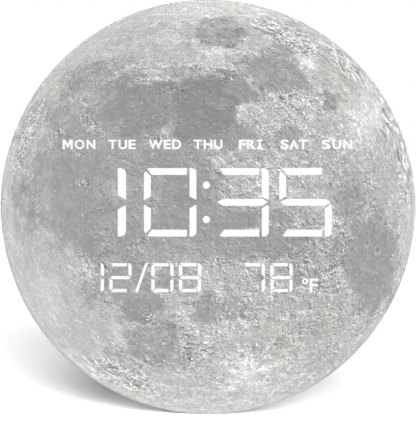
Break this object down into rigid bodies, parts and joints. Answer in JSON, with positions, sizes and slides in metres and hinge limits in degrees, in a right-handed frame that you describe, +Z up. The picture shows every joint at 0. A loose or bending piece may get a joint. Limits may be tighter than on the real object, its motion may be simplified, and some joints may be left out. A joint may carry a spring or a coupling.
{
  "type": "digital wall clock",
  "caption": "Round digital wall clock with a printed moon face, light-up segment windows, a shallow case, keyhole hanger, rear buttons and a sliding battery door.",
  "frame": {"origin": "centre of the face's axis on the flat back of the rear cover, in the plane of the wall", "axes": "+Z up, +Y into the wall, the face looks along -Y, +X to the right as seen from the front"},
  "size_m": [0.3, 0.034, 0.3],
  "materials": {
    "face_print": "matte printed moon surface on acrylic",
    "lens": "milky translucent moulding",
    "case": "fine textured moulded plastic",
    "mask": "white reflector moulding",
    "tape": "foam tape",
    "board": "green solder mask",
    "chip": "black moulded resin",
    "connector": "cream nylon",
    "steel": "zinc plated steel",
    "button": "grey soft-touch",
    "lead_red": "red insulation",
    "lead_black": "black insulation",
    "ribbon": "grey ribbon insulation"
  },
  "bodies": {
    "clock": {"face_panel": "face_print", "face_tape": "tape", "front_housing": "case", "light_mask": "mask", "time_lens": "lens", "weekday_lens": "lens", "date_lens": "lens", "temperature_lens": "lens", "led_board": "board", "board_screw_1": "steel", "board_screw_2": "steel", "board_screw_3": "steel", "board_screw_4": "steel", "clock_chip": "chip", "led_driver_1": "chip", "led_driver_2": "chip", "crystal": "steel", "temperature_sensor": "chip", "power_connector": "connector", "cell_connector": "connector", "key_connector": "connector", "rear_cover": "case", "cover_screw_1": "steel", "cover_screw_2": "steel", "cover_screw_3": "steel", "cover_screw_4": "steel", "cover_screw_5": "steel", "cover_screw_6": "steel", "hanger_plate": "steel", "hanger_screw_1": "steel", "hanger_screw_2": "steel", "power_jack": "chip", "jack_pin": "steel", "tact_switch_set": "chip", "tact_switch_up": "chip", "tact_switch_down": "chip", "key_board": "board", "key_board_screw_1": "steel", "key_board_screw_2": "steel", "coin_cell": "steel", "cell_contact_positive": "steel", "cell_contact_negative": "steel", "power_lead_red": "lead_red", "power_lead_black": "lead_black", "cell_lead_red": "lead_red", "cell_lead_black": "lead_black", "key_ribbon": "ribbon"},
    "set_button": {"button_set": "button", "switch_plunger_set": "connector"},
    "up_button": {"button_up": "button", "switch_plunger_up": "connector"},
    "down_button": {"button_down": "button", "switch_plunger_down": "connector"},
    "battery_door": {"battery_door": "case"}
  },
  "joints": [
    {"name": "set_button_press", "type": "slide", "parent": "clock", "child": "set_button", "axis": [0, -1, 0], "range_m": [0, 0.0008], "stiffness_N_per_m": 300},
    {"name": "up_button_press", "type": "slide", "parent": "clock", "child": "up_button", "axis": [0, -1, 0], "range_m": [0, 0.0008], "stiffness_N_per_m": 300},
    {"name": "down_button_press", "type": "slide", "parent": "clock", "child": "down_button", "axis": [0, -1, 0], "range_m": [0, 0.0008], "stiffness_N_per_m": 300},
    {"name": "battery_door_slide", "type": "slide", "parent": "clock", "child": "battery_door", "axis": [-1, 0, 0], "range_m": [0, 0.04]}
  ]
}
